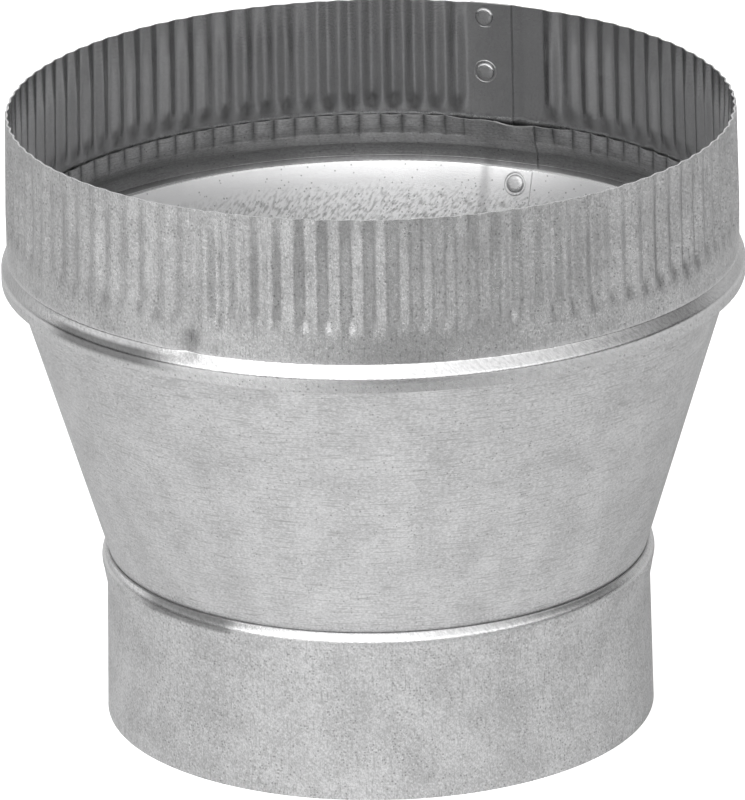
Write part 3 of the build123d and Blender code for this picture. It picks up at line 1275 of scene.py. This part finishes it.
@dataclass(frozen=True)
class Softbox:
    """Soft area lamp that lights the floor, in metres, whose radiance of 1 is white."""

    name: str
    place: tuple[float, float, float]
    size: tuple[float, float]
    radiance: float

    def hang(self, target: Vector) -> None:
        """Hangs the lamp, turned towards a target.

        Args:
            target: what it faces, in metres.
        """
        data = bpy.data.lights.new(self.name, "AREA")
        data.shape = "RECTANGLE"
        data.size, data.size_y = self.size
        data.energy = self.radiance * math.pi * self.size[0] * self.size[1]
        lamp = bpy.data.objects.new(self.name, data)
        lamp.location = self.place
        lamp.rotation_mode = "QUATERNION"
        lamp.rotation_quaternion = (target - Vector(self.place)).to_track_quat("-Z", "Y")
        lamp.visible_camera = False
        lamp.visible_glossy = False
        bpy.context.scene.collection.objects.link(lamp)


@dataclass
class Studio:
    """White floor, soft light and the camera of the photograph."""

    # Camera, in millimetres and degrees
    camera_distance: float = 2300.0
    camera_elevation: float = 19.65
    camera_roll: float = -1.02
    aim: tuple[float, float, float] = (-0.91, 0.0, 88.83)
    lens: float = 371.07
    sensor: float = 36.0
    clip: tuple[float, float] = (0.1, 50.0)
    # Panel of light in front, as a level for each azimuth and limits in height
    room_level: float = 0.06
    panel_level: float = 1.45
    panel_shares: tuple[tuple[float, float], ...] = (
        (-63.0, 0.36), (-57.5, 1.0), (10.0, 1.0), (25.0, 0.76), (53.0, 0.58), (80.0, 0.23), (105.0, 0.11))
    panel_low: tuple[float, float] = (0.07, 0.16)
    panel_high: tuple[float, float] = (0.86, 0.98)
    panel_top_share: float = 0.2
    strip_low: tuple[float, float] = (0.16, 0.23)
    strip_high: tuple[float, float] = (0.27, 0.36)
    strip_share: float = 0.9
    # Backdrop behind, and the even light that the floor gets
    backdrop_level: float = 0.5
    backdrop_depth: tuple[float, float] = (0.3, 0.6)
    backdrop_glow: float = 0.9
    backdrop_glow_height: tuple[float, float] = (0.2, 0.3)
    backdrop_glow_depth: tuple[float, float] = (0.7, 0.9)
    ambient_level: float = 0.42
    # Floor, in metres, with a painted pool of light round the part and a painted shadow in front of it
    floor_half: float = 3.0
    floor_drop: float = 0.0002
    floor_level: float = 0.7
    floor_seen: float = 0.85
    floor_lift: float = 0.75
    glow_level: float = 0.3
    glow_centre: tuple[float, float, float] = (0.0, -0.19, 0.0)
    glow_reach: tuple[float, float, float] = (0.17, 0.17, 1.0)
    dim_centre: tuple[float, float, float] = (0.09, -0.62, 0.0)
    dim_reach: tuple[float, float, float] = (0.26, 0.28, 1.0)
    dim_share: float = 1.0
    softboxes: tuple[Softbox, ...] = (
        Softbox("key_softbox", (-0.284, -0.874, 1.008), (1.55, 1.7), 1.8),
        Softbox("front_softbox", (-0.2, -1.4, 0.54), (4.2, 0.55), 1.9),
        Softbox("side_softbox", (0.78, -0.42, 1.03), (0.8, 0.9), 0.9),
        Softbox("floor_softbox", (-0.4, -0.9, 0.9), (0.8, 0.8), 2.2),
    )

    def camera(self) -> None:
        """Places the camera at the photograph's view."""
        rise = math.radians(self.camera_elevation)
        roll = math.radians(self.camera_roll)
        ahead = Vector((0, math.cos(rise), -math.sin(rise)))
        right = Vector((1, 0, 0))
        up = right.cross(ahead)
        side = right * math.cos(roll) + up * math.sin(roll)
        top = up * math.cos(roll) - right * math.sin(roll)
        spot = (Vector(self.aim) - ahead * self.camera_distance) * MM
        data = bpy.data.cameras.new("studio_camera")
        data.sensor_width = self.sensor
        data.lens = self.lens
        data.clip_start, data.clip_end = self.clip
        camera = bpy.data.objects.new("studio_camera", data)
        turned = Matrix((side, top, -ahead)).transposed().to_4x4()
        camera.matrix_world = Matrix.Translation(spot) @ turned
        bpy.context.scene.collection.objects.link(camera)
        bpy.context.scene.camera = camera

    def world(self) -> None:
        """White backdrop behind the part, and a wide panel of light in front for the metal to show."""
        world = bpy.data.worlds.new("studio")
        world.cycles.sampling_method = "NONE"
        canvas = cleared(world)
        path = canvas.add("ShaderNodeLightPath").outputs
        toward = canvas.add("ShaderNodeTexCoord").outputs["Generated"]
        across, depth, height = canvas.add("ShaderNodeSeparateXYZ", {0: toward}).outputs
        bearing = canvas.math("ARCTAN2", across, canvas.math("MULTIPLY", depth, -1.0))
        panel = canvas.add("ShaderNodeValToRGB", {0: canvas.ranged(bearing, -math.pi, math.pi)})
        stops = panel.color_ramp.elements
        stops.remove(stops[1])
        for number, (angle, share) in enumerate(self.panel_shares):
            place = 0.5 + angle / 360
            stop = stops.new(place) if number else stops[0]
            stop.position = place
            stop.color = (share, share, share, 1.0)
        level = canvas.chain("MULTIPLY", panel.outputs[0], self.panel_level,
                             canvas.ranged(height, *self.panel_low, eased=True),
                             canvas.ranged(height, *self.panel_high, 1.0, self.panel_top_share))
        strip = canvas.math("MULTIPLY", canvas.ranged(height, *self.strip_low),
                            canvas.ranged(height, *self.strip_high, self.strip_share, 0.0))
        level = canvas.math("MULTIPLY_ADD", level, strip, level)
        behind = canvas.ranged(depth, *self.backdrop_depth, 0.0, self.backdrop_level, eased=True)
        above = canvas.math("MULTIPLY",
                            canvas.ranged(height, *self.backdrop_glow_height, 0.0, self.backdrop_glow),
                            canvas.ranged(depth, *self.backdrop_glow_depth))
        seen = path["Is Camera Ray"]
        level = canvas.chain("MAXIMUM", level, canvas.math("ADD", behind, above), self.room_level, seen)
        seen = canvas.chain("MAXIMUM", seen, path["Is Glossy Ray"], path["Is Transmission Ray"])
        strength = canvas.ranged(seen, 0.0, 1.0, self.ambient_level, level)
        sky = canvas.add("ShaderNodeBackground", {"Color": WHITE, "Strength": strength})
        canvas.add("ShaderNodeOutputWorld", {"Surface": sky.outputs[0]})
        bpy.context.scene.world = world

    def floor(self) -> None:
        """Pale floor that keeps a faint shadow, with a painted pool of light that makes it brightest round
        the part and a painted shadow in front of it.
        """
        corners = [(across * self.floor_half, depth * self.floor_half, 0)
                   for across, depth in ((-1, -1), (1, -1), (1, 1), (-1, 1))]
        mesh = bpy.data.meshes.new("studio_floor")
        mesh.from_pydata(corners, [], [(0, 1, 2, 3)])
        floor = add_piece("studio_floor", mesh)
        floor.location.z = -self.floor_drop
        material = bpy.data.materials.new("studio_floor")
        canvas = cleared(material)
        seen = canvas.add("ShaderNodeLightPath").outputs["Is Camera Ray"]
        place = canvas.add("ShaderNodeTexCoord").outputs["Object"]

        def falloff(centre: Sequence[float], reach: Sequence[float]) -> bpy.types.NodeSocket:
            """Makes a level that is 1 at a spot on the floor and half of that at its reach.

            Args:
                centre: the spot.
                reach: distance to half the level, along each axis.

            Returns:
                The level.
            """
            share = canvas.vector("DIVIDE", canvas.vector("SUBTRACT", place, centre), reach)
            far = canvas.add("ShaderNodeVectorMath", {0: share}, operation="LENGTH").outputs["Value"]
            return canvas.math("DIVIDE", 1.0, canvas.math("MULTIPLY_ADD", far, far, 1.0))

        # Painted shadow: a darker patch on the floor in front of the part
        dim = canvas.math("MULTIPLY_ADD", falloff(self.dim_centre, self.dim_reach), -self.dim_share, 1.0)
        # Painted pool of light: the floor is lighter round the part
        level = canvas.math("MULTIPLY_ADD", falloff(self.glow_centre, self.glow_reach), self.glow_level,
                            self.floor_level)
        level = canvas.math("MULTIPLY", level, dim)
        level = canvas.math("MAXIMUM", level, canvas.math("MULTIPLY", seen, self.floor_seen))
        tone = canvas.add("ShaderNodeCombineColor", {0: level, 1: level, 2: level})
        matte = canvas.add("ShaderNodeBsdfDiffuse", {"Color": tone.outputs[0]})
        lift = canvas.add("ShaderNodeEmission", {"Strength": canvas.math("MULTIPLY", seen, self.floor_lift)})
        both = canvas.add("ShaderNodeAddShader", {0: matte.outputs[0], 1: lift.outputs[0]})
        canvas.add("ShaderNodeOutputMaterial", {"Surface": both.outputs[0]})
        floor.data.materials.append(material)

    def build(self) -> None:
        """Sets up the view, the light and the floor."""
        self.camera()
        for softbox in self.softboxes:
            softbox.hang(Vector(self.aim) * MM)
        self.world()
        self.floor()
        bpy.context.scene.view_settings.view_transform = "Standard"


def main() -> None:
    """Builds the three shells, their clinched buttons and the studio."""
    logging.basicConfig(level=logging.INFO, format="%(name)s %(message)s")
    effects = ZincEffects()
    waves = wave_tree()
    buttons = button_tree()
    strips = (CrimpedCollar(), TaperedBody(), PlainCollar())
    shells = [strip.build(effects, waves) for strip in strips]
    for strip, shell in zip(strips, shells):
        strip.clinches.build(shell.data.materials[0], buttons)
    Studio().build()


if __name__ == "__main__":
    main()
